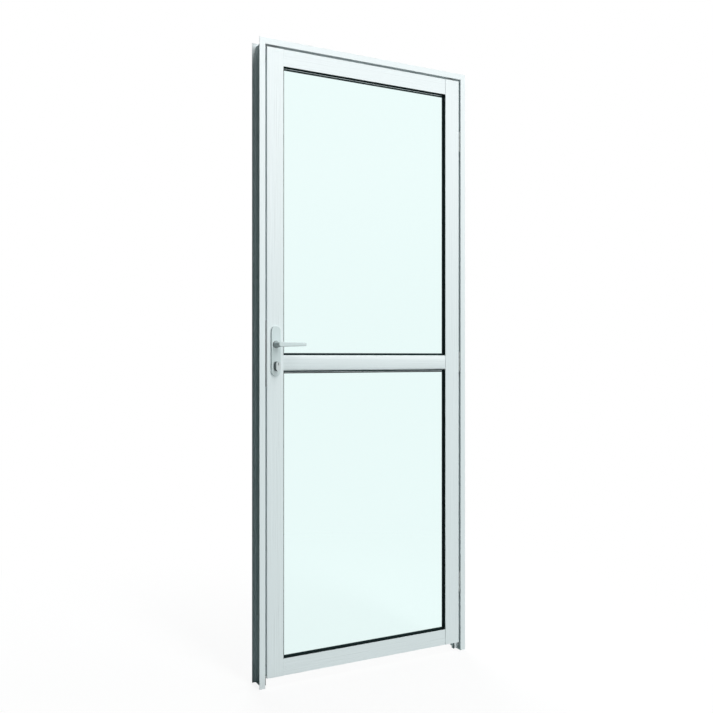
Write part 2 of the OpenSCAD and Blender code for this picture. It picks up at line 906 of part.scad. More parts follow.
// Oval outline of the cylinder, moved outwards by a clearance
module cylinder_profile(clear) {
    r = cylinder_top_r + clear;
    low = cylinder_d - cylinder_h;
    translate([lock_x, key_z]) {
        for (z = [0, low]) translate([0, z]) circle(r = r);
        translate([-r, low]) square([2 * r, -low]);
    }
}

module profile_cut(clear, y0, y1) {
    along_y(y0, y1) cylinder_profile(clear);
}

// Outside plate: a shell with bosses for the bolts, a collar for the bush and a rim round the cylinder
module plate_shell() {
    back = -leaf_y;
    front = back - plate_t;
    floor_y = front + plate_wall;
    difference() {
        union() {
            difference() {
                plate_blank();
                along_y(floor_y, back + overrun) plate_outline(plate_wall);
            }
            for (z = plate_bolt_zs) rod_y(lock_x, z, plate_boss_d, floor_y - overrun, back);
            rod_y(lock_x, spindle_z, bush_d + 2 * plate_wall, floor_y - overrun, back);
            intersection() {
                profile_cut(slide_clear + plate_wall, floor_y - overrun, back);
                along_y(front, back) plate_outline(plate_wall);
            }
        }
        rod_y(lock_x, spindle_z, bush_d + 2 * run_clear, front - overrun, back + overrun);
        profile_cut(slide_clear, front - overrun, back + overrun);
    }
}

// The outside plate takes the bolts' threads and shows no hole
module outside_plate() {
    bore = plate_bolt_d + 2 * run_clear;
    color("lightgray") difference() {
        plate_shell();
        for (z = plate_bolt_zs)
            rod_y(lock_x, z, bore, -leaf_y - plate_t + plate_wall, -leaf_y + overrun);
    }
}

// The inside plate lets the bolts through from its face
module inside_plate() {
    front = leaf_y + plate_t;
    bore = plate_bolt_d + 2 * run_clear;
    head_bore = plate_bolt_head_d + 2 * slide_clear;
    color("lightgray") difference() {
        mirror([0, 1, 0]) plate_shell();
        for (z = plate_bolt_zs) {
            rod_y(lock_x, z, bore, leaf_y - overrun, front + overrun);
            rod_y(lock_x, z, head_bore, front - plate_bolt_head_h, front + overrun);
        }
    }
}

module plate_bolts() {
    front = leaf_y + plate_t;
    color("silver") for (z = plate_bolt_zs) {
        rod_y(lock_x, z, plate_bolt_d, -front + plate_wall + overrun, front - plate_bolt_head_h);
        rod_y(lock_x, z, plate_bolt_head_d, front - plate_bolt_head_h, front - slide_clear);
    }
}

// Ring that carries the lever's journal in its plate
module outside_bush() {
    front = -leaf_y - plate_t;
    color("white") difference() {
        rod_y(lock_x, spindle_z, bush_d, front, -leaf_y);
        rod_y(lock_x, spindle_z, journal_d + 2 * run_clear, front - overrun, -leaf_y + overrun);
    }
}

module inside_bush() {
    mirror([0, 1, 0]) outside_bush();
}

// Outline of the grip, a tapered bar with round ends, moved inwards by an inset
module grip_outline(inset) {
    tip_r = lever_tip_h / 2;
    hull() {
        translate([lock_x, spindle_z]) circle(d = lever_root_h - 2 * inset, $fn = 48);
        translate([lock_x + lever_l - tip_r, spindle_z]) circle(r = tip_r - inset, $fn = 48);
    }
}

// Lever: a turned neck and journal, and a flat tapered grip with softened edges
module outside_lever() {
    plate_face = -leaf_y - plate_t;
    front = -leaf_y - lever_reach;
    back = front + lever_t;
    neck_y = plate_face - neck_shoulder;
    color("lightgray") difference() {
        union() {
            rod_y(lock_x, spindle_z, journal_d, neck_y - overrun, -leaf_y - neck_shoulder);
            translate([lock_x, neck_y, spindle_z]) rotate([90, 0, 0])
                cylinder(d1 = neck_d, d2 = lever_root_h, h = neck_y - back + lever_edge_r);
            hull() {
                along_y(front, back) grip_outline(lever_edge_r);
                along_y(front + lever_edge_r, back - lever_edge_r) grip_outline(0);
            }
        }
        spindle_bar(slide_clear, plate_face - socket_depth, -leaf_y + overrun);
        grub_hole();
    }
}

module inside_lever() {
    mirror([0, 1, 0]) outside_lever();
}

module spindle_bar(clear, y0, y1) {
    half = spindle_s / 2 + clear;
    box([lock_x - half, y0, spindle_z - half], [lock_x + half, y1, spindle_z + half]);
}

module spindle() {
    color("dimgray") spindle_bar(0, -spindle_l / 2, spindle_l / 2);
}

// Middle of the neck, where its screw grips the spindle
function grub_y() = -leaf_y - plate_t - (lever_reach - plate_t - lever_t) * grub_y_share;

module grub_hole() {
    translate([lock_x, grub_y(), spindle_z - neck_d]) cylinder(d = grub_d + 2 * run_clear, h = neck_d);
}

module lever_screws() {
    top = spindle_s / 2 + run_clear;
    color("dimgray") for (side = [0, 1]) mirror([0, side, 0])
        translate([lock_x, grub_y(), spindle_z - neck_d / 2 + slide_clear])
            cylinder(d = grub_d, h = neck_d / 2 - slide_clear - top);
}

// Lock

// Holes that the lock case and its cover share
module case_holes(y0, y1) {
    rod_y(lock_x, spindle_z, hub_journal_d + 2 * run_clear, y0, y1);
    for (z = plate_bolt_zs) rod_y(lock_x, z, case_bolt_hole_d, y0, y1);
    profile_cut(slide_clear, y0, y1);
}

// Case: a tray that opens towards the outside, with guides for the deadbolt and the latch
module lock_case() {
    inner_x = case_front + case_wall;
    deadbolt_half = deadbolt_h / 2 + slide_clear;
    latch_low = spindle_z + latch_rise - latch_h / 2 - slide_clear;
    color("silver") difference() {
        union() {
            difference() {
                box([case_front, -case_inner_y, case_bottom], [case_back, case_y, case_top]);
                box(
                    [inner_x, -case_inner_y - overrun, case_bottom + case_wall],
                    [case_back - case_wall, case_inner_y, case_top - case_wall]
                );
            }
            for (z = [deadbolt_z - deadbolt_half - guide_t, deadbolt_z + deadbolt_half])
                box([case_front, -case_inner_y, z], [case_back, case_y, z + guide_t]);
            box(
                [case_front, -case_inner_y, latch_low - guide_t],
                [case_front + latch_guide - arm_clear, case_y, latch_low]
            );
        }
        case_holes(-case_y - overrun, case_y + overrun);
        bolt_pockets(slide_clear, case_front - overrun, inner_x + overrun);
        cylinder_screw_place() countersunk_hole(cylinder_screw_d, small_screw_head_d, 2 * backset);
    }
}

module lock_cover() {
    color("silver") difference() {
        box([case_front, -case_y, case_bottom], [case_back, -case_inner_y, case_top]);
        case_holes(-case_y - overrun, case_y + overrun);
    }
}

module faceplate_screw_places() {
    low = case_bottom - faceplate_margin + faceplate_screw_edge;
    high = case_top + faceplate_margin - faceplate_screw_edge;
    for (z = [low, high]) translate([faceplate_x, 0, z]) children();
}

// The screw passes through the bridge under the cam
module cylinder_screw_place() {
    drop = (cam_r + cam_bridge_clear + cylinder_h - cylinder_top_r) / 2;
    translate([faceplate_x, 0, key_z - drop]) children();
}

module faceplate() {
    color("silver") difference() {
        box(
            [faceplate_x, -faceplate_w / 2, case_bottom - faceplate_margin],
            [-leaf_x, faceplate_w / 2, case_top + faceplate_margin]
        );
        bolt_pockets(slide_clear, faceplate_x - overrun, -leaf_x + overrun);
        faceplate_screw_places() countersunk_hole(small_screw_d, small_screw_head_d, small_screw_l);
        cylinder_screw_place() countersunk_hole(cylinder_screw_d, small_screw_head_d, backset);
    }
}

module faceplate_screws() {
    color("silver") faceplate_screw_places()
        countersunk_screw(small_screw_d, small_screw_head_d, small_screw_l);
}

module cylinder_screw() {
    length = backset + faceplate_t + cylinder_top_r - overrun;
    color("silver") cylinder_screw_place()
        countersunk_screw(cylinder_screw_d, small_screw_head_d, length);
}

// Hub of the lever, with journals in the case and an arm for the latch
module follower() {
    hub_y = case_inner_y - hub_end_clear;
    color("dimgray") difference() {
        union() {
            rod_y(lock_x, spindle_z, hub_d, -hub_y, hub_y);
            rod_y(lock_x, spindle_z, hub_journal_d, -case_y, case_y);
            along_y(-hub_y, hub_y) hull() {
                translate([lock_x, spindle_z]) circle(d = arm_root_d);
                translate([lock_x - arm_r * sin(arm_lean), spindle_z + arm_r * cos(arm_lean)])
                    circle(d = arm_tip_d);
            }
        }
        spindle_bar(slide_clear, -case_y - overrun, case_y + overrun);
    }
}

// Latch: a bevelled head, a tail over the hub with a lug for the arm, and an ear for the spring
module latch_bolt() {
    z = spindle_z + latch_rise;
    tip = faceplate_x - bolt_throw;
    head_back = case_front + case_wall + latch_guide;
    lug_x = lock_x - arm_r * sin(arm_lean) + arm_tip_d / 2 + lug_clear;
    ear_x = case_front + case_wall + ear_inset;
    half = bolt_t / 2;
    color("silver") {
        translate([0, 0, z - latch_h / 2]) linear_extrude(latch_h)
            polygon([
                [tip, -half], [head_back, -half], [head_back, half],
                [faceplate_x, half], [tip, latch_tip_t - half]
            ]);
        box([head_back, -half, z - tail_h / 2], [lug_x + lug_t, half, z + tail_h / 2]);
        box([lug_x, -half, spindle_z + lug_bottom], [lug_x + lug_t, half, z]);
        box([ear_x, -half, z], [ear_x + ear_t, half, z + latch_h / 2 + ear_h]);
    }
}

// Ends of the spring's axis, between the latch's ear and the back of the case
function spring_x() = [
    case_front + case_wall + ear_inset + ear_t + spring_wire / 2 + slide_clear,
    case_back - case_wall - spring_wire / 2 - slide_clear
];

// Compression spring, a round wire swept along a helix
module latch_spring() {
    ends = spring_x();
    axis_z = spindle_z + latch_rise + latch_h / 2 + ear_h / 2;
    coil_r = (spring_d - spring_wire) / 2;
    rings = spring_turns * spring_steps;
    points = [
        for (i = [0:rings], k = [0:spring_sides - 1])
            let (
                turn = 360 * i / spring_steps,
                around = 360 * k / spring_sides,
                r = coil_r + spring_wire / 2 * cos(around),
                x = ends[0] + (ends[1] - ends[0]) * i / rings + spring_wire / 2 * sin(around)
            )
            [x, r * cos(turn), axis_z + r * sin(turn)]
    ];
    sides = [
        for (i = [0:rings - 1], k = [0:spring_sides - 1])
            let (a = i * spring_sides, b = a + spring_sides, n = (k + 1) % spring_sides)
            [a + k, a + n, b + n, b + k]
    ];
    caps = [
        [for (k = [spring_sides - 1:-1:0]) k],
        [for (k = [0:spring_sides - 1]) rings * spring_sides + k]
    ];
    color("silver") polyhedron(points, concat(sides, caps), convexity = 10);
}

// Deadbolt, drawn back flush with the faceplate
module deadbolt() {
    half = bolt_t / 2;
    color("silver") box(
        [faceplate_x, -half, deadbolt_z - deadbolt_h / 2],
        [case_back - case_wall - deadbolt_tail_gap, half, deadbolt_z + deadbolt_h / 2]
    );
}

// Lock cylinder, bored for its two plugs and cut through for the cam
module cylinder_body() {
    color("silver") difference() {
        profile_cut(0, -cylinder_l / 2, cylinder_l / 2);
        rod_y(lock_x, key_z, plug_d + 2 * run_clear, -cylinder_l / 2 - overrun, cylinder_l / 2 + overrun);
        box(
            [lock_x - cylinder_d, -cam_gap_w / 2, key_z - cam_r - cam_bridge_clear],
            [lock_x + cylinder_d, cam_gap_w / 2, key_z + cylinder_d]
        );
        cylinder_screw_place() countersunk_hole(cylinder_screw_d, small_screw_head_d, 2 * backset);
    }
}

// Key plug with its keyway
module outside_plug() {
    front = -cylinder_l / 2;
    color("goldenrod") difference() {
        rod_y(lock_x, key_z, plug_d, front, -cam_w / 2);
        box(
            [lock_x - keyway_w / 2, front - overrun, key_z - keyway_h / 2],
            [lock_x + keyway_w / 2, front + keyway_depth, key_z + keyway_h / 2]
        );
    }
}

module inside_plug() {
    mirror([0, 1, 0]) outside_plug();
}

// Cam between the plugs, with its finger down
module cylinder_cam() {
    color("silver") intersection() {
        union() {
            rod_y(lock_x, key_z, plug_d, -cam_w / 2, cam_w / 2);
            box(
                [lock_x - cam_finger_w / 2, -cam_w / 2, key_z - cam_r],
                [lock_x + cam_finger_w / 2, cam_w / 2, key_z]
            );
        }
        rod_y(lock_x, key_z, 2 * cam_r, -cam_w, cam_w);
    }
}

frame_head();
lock_jamb();
hinge_jamb();
lock_corner_cleat();
hinge_corner_cleat();
frame_seal();
strike_plate();
strike_screws();
for (i = [1:hinge_count])
    hinge_frame_plate(i);
for (i = [1:hinge_count])
    hinge_leaf_plate(i);
hinge_pins();
hinge_washers();
hinge_frame_screws();
hinge_leaf_screws();
lock_stile();
hinge_stile();
top_rail();
mid_rail();
bottom_rail();
rail_screws();
glass(panes[0]);  // lower_glass
glass(panes[1]);  // upper_glass
outer_gasket(panes[0]);  // lower_outer_gasket
outer_gasket(panes[1]);  // upper_outer_gasket
inner_gasket(panes[0]);  // lower_inner_gasket
inner_gasket(panes[1]);  // upper_inner_gasket
setting_blocks();
rail_beads(panes[0]);  // lower_rail_beads
rail_beads(panes[1]);  // upper_rail_beads
side_beads(panes[0]);  // lower_side_beads
side_beads(panes[1]);  // upper_side_beads
lock_case();
lock_cover();
faceplate();
faceplate_screws();
latch_spring();
cylinder_body();
cylinder_screw();
outside_plate();
inside_plate();
plate_bolts();
outside_bush();
inside_bush();
outside_lever();
inside_lever();
spindle();
lever_screws();
follower();
latch_bolt();
deadbolt();
outside_plug();
inside_plug();
cylinder_cam();
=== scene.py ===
"""Looks of a glass door with its frame: finishes for every piece, a studio stage and a camera.

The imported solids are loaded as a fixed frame, in metres, with +Z up and -Y towards the outside.
Each operator finishes one group of pieces, and main() calls them in order.
"""

import math

import bmesh
import bpy
from bpy.props import FloatProperty, FloatVectorProperty, IntProperty, PointerProperty
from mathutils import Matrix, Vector


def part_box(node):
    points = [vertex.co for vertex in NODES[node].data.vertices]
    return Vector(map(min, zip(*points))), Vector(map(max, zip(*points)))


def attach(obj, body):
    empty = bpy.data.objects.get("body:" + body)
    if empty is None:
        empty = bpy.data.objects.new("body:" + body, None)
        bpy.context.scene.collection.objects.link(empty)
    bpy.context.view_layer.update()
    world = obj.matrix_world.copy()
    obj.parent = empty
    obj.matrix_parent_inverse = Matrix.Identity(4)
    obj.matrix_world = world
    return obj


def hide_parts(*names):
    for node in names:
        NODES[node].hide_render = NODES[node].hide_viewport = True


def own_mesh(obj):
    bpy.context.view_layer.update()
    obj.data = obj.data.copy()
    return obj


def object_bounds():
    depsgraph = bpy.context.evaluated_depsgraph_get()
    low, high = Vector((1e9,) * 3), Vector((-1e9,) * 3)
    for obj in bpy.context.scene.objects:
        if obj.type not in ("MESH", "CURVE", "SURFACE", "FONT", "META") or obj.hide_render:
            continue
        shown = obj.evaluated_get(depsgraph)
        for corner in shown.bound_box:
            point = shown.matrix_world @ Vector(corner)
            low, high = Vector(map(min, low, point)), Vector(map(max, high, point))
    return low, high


bl_info = {
    "name": "Glass Door Looks",
    "version": (1, 0, 0),
    "blender": (4, 5, 0),
    "location": "View3D > Sidebar > Glass Door",
    "description": "Finishes a framed glass door and sets its studio stage",
    "category": "Object",
}

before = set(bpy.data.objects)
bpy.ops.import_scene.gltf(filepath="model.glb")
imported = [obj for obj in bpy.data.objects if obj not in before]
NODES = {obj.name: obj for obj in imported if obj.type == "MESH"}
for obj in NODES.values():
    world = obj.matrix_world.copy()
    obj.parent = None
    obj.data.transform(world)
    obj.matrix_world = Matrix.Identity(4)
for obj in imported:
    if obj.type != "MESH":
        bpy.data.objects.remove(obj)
CAD_LOW, CAD_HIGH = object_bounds()

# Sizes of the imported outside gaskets: the part behind the profile, the lip on the glass and its thickness
GASKET_SEAT = 0.007
GASKET_LIP = 0.0075
GASKET_LIP_T = 0.001

# Room left between a gasket's fin and the pane
FIN_GAP = 0.00005

# Corners closer than this are joined before edges are rounded
WELD_REACH = 0.000002

# Edges that turn by more than these angles are rounded on CAD nodes, and stay sharp on swept pieces
ROUND_ANGLE = math.radians(35)
SHARP_ANGLE = math.radians(40)

# Facets of the fine lines, of one turn of the latch coil and of its wire
LINE_FACETS = 6
COIL_STEPS = 24
WIRE_SIDES = 10

# The middle band that most values of a noise fall in
NOISE_LOW = 0.3
NOISE_HIGH = 0.7

# Features per metre along a profile's die lines, and of the slow drift in its colour
LINE_BREAKS = 3
CLOUDS = 1.5

# The room that gloss mirrors: the way to its back, how far round it is fully dim, and where the floor ends
ROOM_BACK = (-0.5, 0.87, 0)
ROOM_DIM = 0.6
HORIZON = 0.02

# The lights aim at this share of the door's height
AIM_SHARE = 0.55

# The camera's sensor in millimetres, and how far it sees in metres
SENSOR_WIDTH = 36
VIEW_REACH = 200

WHITE = (1, 1, 1, 1)

# Pieces that share a finish
UPRIGHTS = ("lock_jamb", "hinge_jamb", "lock_stile", "hinge_stile", "lower_side_beads", "upper_side_beads")
CROSSBARS = ("frame_head", "top_rail", "mid_rail", "bottom_rail", "lower_rail_beads", "upper_rail_beads")
PANES = ("lower_glass", "upper_glass")
RUBBERS = (
    "frame_seal", "lower_outer_gasket", "upper_outer_gasket",
    "lower_inner_gasket", "upper_inner_gasket", "setting_blocks",
)
HINGE_METAL = ("hinge_pins", "hinge_frame_screws", "hinge_leaf_screws") + tuple(
    f"hinge_{side}_plate_{place}" for side in ("frame", "leaf") for place in (1, 2, 3)
)
MOULDINGS = ("hinge_washers", "outside_bush", "inside_bush")
HANDLE_SHELLS = ("outside_plate", "inside_plate", "outside_lever", "inside_lever")
CYLINDER_CASING = ("cylinder_body",)
CYLINDER_CORE = ("outside_plug", "inside_plug", "cylinder_cam")
PLATED_STEEL = (
    "lock_corner_cleat", "hinge_corner_cleat", "strike_plate", "strike_screws", "rail_screws",
    "lock_case", "lock_cover", "faceplate", "faceplate_screws", "cylinder_screw",
    "plate_bolts", "spindle", "lever_screws", "follower", "latch_bolt", "deadbolt",
)


class ProfileSettings(bpy.types.PropertyGroup):
    """Finish of the extruded aluminium profiles."""

    colour: FloatVectorProperty(
        name="Colour", description="Colour of the anodised profiles",
        default=(0.787, 0.845, 0.853), subtype="COLOR", min=0, max=1,
    )
    metallic: FloatProperty(
        name="Metallic", description="Share of bare metal that shows through the anodised layer",
        default=0.22, subtype="FACTOR", min=0, max=1,
    )
    roughness: FloatProperty(
        name="Roughness", description="Mean roughness of the anodised face",
        default=0.3, subtype="FACTOR", min=0, max=1,
    )
    edge_radius: FloatProperty(
        name="Edge radius", description="Radius of the extruded edges",
        default=0.0003, unit="LENGTH", min=0,
    )
    line_pitch: FloatProperty(
        name="Line pitch", description="Spacing of the fine die lines along a profile",
        default=0.0007, unit="LENGTH", min=0.0001,
    )


class GlazingSettings(bpy.types.PropertyGroup):
    """Finish of the panes and their gaskets."""

    tint: FloatVectorProperty(
        name="Tint", description="Colour that white takes on through a pane",
        default=(0.848, 0.985, 0.97), subtype="COLOR", min=0, max=1,
    )
    ior: FloatProperty(
        name="Index of refraction", description="Index of refraction of float glass",
        default=1.5, min=1, max=2,
    )
    rubber: FloatVectorProperty(
        name="Rubber", description="Colour of the gaskets and seals",
        default=(0.006, 0.009, 0.009), subtype="COLOR", min=0, max=1,
    )
    rubber_gloss: FloatVectorProperty(
        name="Rubber gloss", description="Tint of the gloss on the gaskets",
        default=(0.45, 0.95, 1.0), subtype="COLOR", min=0, max=1,
    )
    lip_radius: FloatProperty(
        name="Lip radius", description="Radius of the gasket edges",
        default=0.0004, unit="LENGTH", min=0,
    )
    fin_width: FloatProperty(
        name="Fin width", description="Width of the thin fin that a gasket's lip runs out to under a rail",
        default=0.0021, unit="LENGTH", min=0.0005,
    )
    fin_edge: FloatProperty(
        name="Fin edge", description="Thickness of the fin at its free edge",
        default=0.0003, unit="LENGTH", min=0.0001,
    )
    line_radius: FloatProperty(
        name="Line radius", description="Radius of the fine pale line along a gasket",
        default=0.0007, unit="LENGTH", min=0.0001,
    )
    upper_inset: FloatProperty(
        name="Upper line inset", description="Distance of the upper pane's line from the top rail's edge",
        default=0.0036, unit="LENGTH", min=0,
    )
    lower_inset: FloatProperty(
        name="Lower line inset", description="Distance of the lower pane's line from the mid rail's edge",
        default=0.0054, unit="LENGTH", min=0,
    )


class HardwareSettings(bpy.types.PropertyGroup):
    """Finish of the handle, hinges and lock."""

    handle: FloatVectorProperty(
        name="Handle", description="Colour of the levers and plates",
        default=(0.597, 0.68, 0.683), subtype="COLOR", min=0, max=1,
    )
    hinge: FloatVectorProperty(
        name="Hinge", description="Colour of the hinges",
        default=(0.30, 0.33, 0.33), subtype="COLOR", min=0, max=1,
    )
    nylon: FloatVectorProperty(
        name="Nylon", description="Colour of the moulded bushes and washers",
        default=(0.05, 0.05, 0.052), subtype="COLOR", min=0, max=1,
    )
    steel: FloatVectorProperty(
        name="Steel", description="Colour of the plated steel pieces",
        default=(0.55, 0.56, 0.57), subtype="COLOR", min=0, max=1,
    )
    nickel: FloatVectorProperty(
        name="Nickel", description="Colour of the lock cylinder",
        default=(0.58, 0.63, 0.635), subtype="COLOR", min=0, max=1,
    )
    # Painted shade: a dark colour on the lock cylinder's side that stands in for the shade there, not a
    # plating of its own
    painted_barrel_shade: FloatVectorProperty(
        name="Barrel", description="Colour of the lock cylinder's barrel behind its faces",
        default=(0.13, 0.16, 0.162), subtype="COLOR", min=0, max=1,
    )
    # The painted shade on the cylinder's side stops within this depth of each face, which keeps the nickel
    # colour
    face_depth: FloatProperty(
        name="Face depth", description="Depth of the bright band at each face of the lock cylinder",
        default=0.0006, unit="LENGTH", min=0,
    )
    edge_radius: FloatProperty(
        name="Edge radius", description="Radius of the edges of small pieces",
        default=0.0003, unit="LENGTH", min=0,
    )
    spring_wire: FloatProperty(
        name="Spring wire", description="Thickness of the latch spring's wire",
        default=0.0008, unit="LENGTH", min=0.0002,
    )
    spring_turns: IntProperty(
        name="Spring turns", description="Turns of the latch spring", default=9, min=3,
    )


class StageSettings(bpy.types.PropertyGroup):
    """Floor, light and camera."""

    floor_width: FloatProperty(
        name="Floor width", description="Width of the square floor", default=60.0, unit="LENGTH", min=1,
    )
    floor_colour: FloatVectorProperty(
        name="Floor", description="Colour of the pale floor",
        default=(0.93, 0.93, 0.93), subtype="COLOR", min=0, max=1,
    )
    shadow_depth: FloatProperty(
        name="Shadow depth", description="Strength of the door's shadow on the floor",
        default=0.12, subtype="FACTOR", min=0, max=1,
    )
    shadow_near: FloatProperty(
        name="Shadow near", description="Distance from the door at which the shadow starts to fade",
        default=0.6, unit="LENGTH", min=0,
    )
    shadow_far: FloatProperty(
        name="Shadow far", description="Distance from the door at which the floor is plain white",
        default=2.2, unit="LENGTH", min=0,
    )
    floor_bounce: FloatProperty(
        name="Floor bounce", description="Share of light that the floor throws back up at the door",
        default=0.085, subtype="FACTOR", min=0, max=1,
    )
    floor_gloss: FloatProperty(
        name="Floor in gloss", description="Brightness of the floor where the door mirrors it",
        default=0.48, subtype="FACTOR", min=0, max=1,
    )
    gloss_rise: FloatProperty(
        name="Rise in gloss", description="Height of the direction in which gloss mirrors full white",
        default=0.24, min=0.03, max=1,
    )
    back_gloss: FloatProperty(
        name="Back in gloss", description="Brightness of the room behind the door where gloss mirrors it",
        default=0.03, subtype="FACTOR", min=0, max=1,
    )
    dim_tint: FloatVectorProperty(
        name="Dim tint", description="Colour of the dim back of the room where gloss mirrors it",
        default=(0.45, 1.0, 1.0), subtype="COLOR", min=0, max=1,
    )
    key_power: FloatProperty(
        name="Key light", description="Power of the light high in front of the door",
        default=280.0, unit="POWER", min=0,
    )
    fill_power: FloatProperty(
        name="Fill light", description="Power of the even light from the front",
        default=265.0, unit="POWER", min=0,
    )
    top_power: FloatProperty(
        name="Top light", description="Power of the light above the door",
        default=80.0, unit="POWER", min=0,
    )
    back_power: FloatProperty(
        name="Back light", description="Power of the light behind the door",
        default=190.0, unit="POWER", min=0,
    )
    ambient: FloatProperty(
        name="Ambient", description="Strength of the even light from all round", default=0.032, min=0,
    )
    ambient_tint: FloatVectorProperty(
        name="Ambient tint", description="Colour of the even light from all round",
        default=(0.2, 1.0, 1.0), subtype="COLOR", min=0, max=1,
    )
    lens: FloatProperty(
        name="Lens", description="Focal length on a 36 mm sensor", default=42.16, unit="CAMERA", min=1,
    )
    yaw: FloatProperty(
        name="Yaw", description="Turn of the view away from straight on",
        default=math.radians(27.66), subtype="ANGLE",
    )
    distance: FloatProperty(
        name="Distance", description="Distance from the aim point to the camera",
        default=2.861, unit="LENGTH", min=0,
    )
    aim_x: FloatProperty(
        name="Aim across", description="Place of the aim point across the door",
        default=-0.0409, unit="LENGTH",
    )
    aim_z: FloatProperty(
        name="Aim height", description="Height of the aim point and the camera",
        default=1.071, unit="LENGTH",
    )


class DoorSettings(bpy.types.PropertyGroup):
    """All the settings that a user would change."""

    profile: PointerProperty(type=ProfileSettings)
    glazing: PointerProperty(type=GlazingSettings)
    hardware: PointerProperty(type=HardwareSettings)
    stage: PointerProperty(type=StageSettings)
    edge_segments: IntProperty(
        name="Edge segments", description="Facets across a rounded edge", default=2, min=1, max=6,
    )


def settings():
    """The settings of the current scene."""
    return bpy.context.scene.glass_door


def opaque(colour):
    """A colour with full alpha, as colour sockets take it."""
    return (*colour, 1)


class Wiring:
    """Shorthand for wiring up the nodes of a material or of the world."""

    def __init__(self, tree):
        self.tree = tree

    def feed(self, socket, value):
        """Links a socket to another node's output, or sets it to a constant."""
        if isinstance(value, bpy.types.NodeSocket):
            self.tree.links.new(value, socket)
        else:
            socket.default_value = value

    def add(self, kind, inputs, **setup):
        """Adds a node. Setup goes to the node itself, and the inputs to its sockets by name or number."""
        node = self.tree.nodes.new(f"ShaderNode{kind}")
        for key, value in setup.items():
            setattr(node, key, value)
        for key, value in inputs.items():
            self.feed(node.inputs[key], value)
        return node

    def place(self, kind="Object"):
        """Places in the frame's own metres, or of another kind, such as the world's directions."""
        return self.add("TexCoord", {}).outputs[kind]

    def math(self, operation, *values):
        """One step of arithmetic, with its result kept between 0 and 1."""
        inputs = dict(enumerate(values))
        return self.add("Math", inputs, operation=operation, use_clamp=True).outputs["Value"]

    def ramp(self, value, start, end, low=0.0, high=1.0, smooth=False):
        """A change from low to high while a value runs from start to end."""
        inputs = {"Value": value, "From Min": start, "From Max": end, "To Min": low, "To Max": high}
        course = "SMOOTHSTEP" if smooth else "LINEAR"
        return self.add("MapRange", inputs, interpolation_type=course).outputs["Result"]

    def mix_colour(self, factor, first, second):
        """A colour that turns from the first to the second as a factor goes from 0 to 1."""
        inputs = {"Factor": factor, "A": first, "B": second}
        return self.add("Mix", inputs, data_type="RGBA").outputs["Result"]

    def mix_shader(self, factor, first, second):
        """A surface that turns from the first to the second as a factor goes from 0 to 1."""
        return self.add("MixShader", {0: factor, 1: first, 2: second}).outputs["Shader"]


class Finish(Wiring):
    """A material in the making. Constants go to its shader's sockets, by name with _ for spaces."""

    def __init__(self, name, **constants):
        self.material = bpy.data.materials.new(name)
        self.material.use_nodes = True
        super().__init__(self.material.node_tree)
        self.shader = self.tree.nodes["Principled BSDF"]
        for key, value in constants.items():
            self.shader.inputs[key.replace("_", " ")].default_value = value

    def noise(self, stretch, detail):
        """Noise in the frame's own metres, stretched by the number of features per metre on each axis."""
        mapping = self.add("Mapping", {"Vector": self.place(), "Scale": stretch})
        inputs = {"Vector": mapping.outputs["Vector"], "Scale": 1.0, "Detail": detail}
        return self.add("TexNoise", inputs).outputs["Fac"]

    def vary_colour(self, noise, colour, swing):
        """A colour that drifts a little darker and lighter with a noise."""
        drift = self.add("ValToRGB", {"Fac": noise})
        dark, light = drift.color_ramp.elements
        dark.position = NOISE_LOW
        dark.color = opaque(part * (1 - swing) for part in colour)
        light.position = NOISE_HIGH
        light.color = opaque(min(1, part * (1 + swing)) for part in colour)
        self.feed(self.shader.inputs["Base Color"], drift.outputs["Color"])

    def vary_roughness(self, noise, mean, swing):
        """A roughness that drifts to both sides of its mean with a noise."""
        drift = self.ramp(noise, NOISE_LOW, NOISE_HIGH, mean - swing, mean + swing)
        self.feed(self.shader.inputs["Roughness"], drift)

    def bump(self, noise, strength, height):
        """A fine relief that follows a noise."""
        relief = self.add("Bump", {"Height": noise, "Strength": strength, "Distance": height})
        self.feed(self.shader.inputs["Normal"], relief.outputs["Normal"])

    def paint_barrel_shade(self, colour, face_start, face_end):
        """Paints shade: another colour where the distance from the door's middle plane is short of a face.
        """
        across = self.add("SeparateXYZ", {"Vector": self.place()}).outputs["Y"]
        face = self.ramp(self.math("ABSOLUTE", across), face_start, face_end)
        base = self.shader.inputs["Base Color"]
        bright = base.links[0].from_socket
        self.feed(base, self.mix_colour(face, opaque(colour), bright))


class Rays(Wiring):
    """Wiring that tells kinds of rays apart, for the floor and the white surroundings."""

    def __init__(self, tree):
        super().__init__(tree)
        path = self.add("LightPath", {}).outputs
        self.camera = path["Is Camera Ray"]
        self.glossy = path["Is Glossy Ray"]
        self.through = path["Is Transmission Ray"]

    def mirrored(self):
        """1 for rays that a glossy face throws back, and 0 for rays through glass and all others."""
        return self.math("SUBTRACT", self.glossy, self.through)

    def seen(self):
        """1 for rays from the camera, from gloss and through glass, and 0 for light rays."""
        return self.math("MAXIMUM", self.math("MAXIMUM", self.camera, self.through), self.glossy)

    def room_depth(self, direction):
        """Full white for directions to the front, falling to a dim level towards the back of the room."""
        behind = self.add("VectorMath", {0: direction, 1: ROOM_BACK}, operation="DOT_PRODUCT")
        dim = settings().stage.back_gloss
        return self.ramp(behind.outputs["Value"], 0.0, ROOM_DIM, low=1.0, high=dim, smooth=True)

    def cool_when_dim(self, level):
        """White where the room is bright, turning to a cool tint where it is dim."""
        return self.mix_colour(level, opaque(settings().stage.dim_tint), WHITE)

    def mirrored_level(self, value):
        """A level of 1 for rays that see the stage straight, and another value where gloss mirrors it."""
        drop = self.math("SUBTRACT", 1.0, value)
        return self.math("SUBTRACT", 1.0, self.math("MULTIPLY", self.mirrored(), drop))


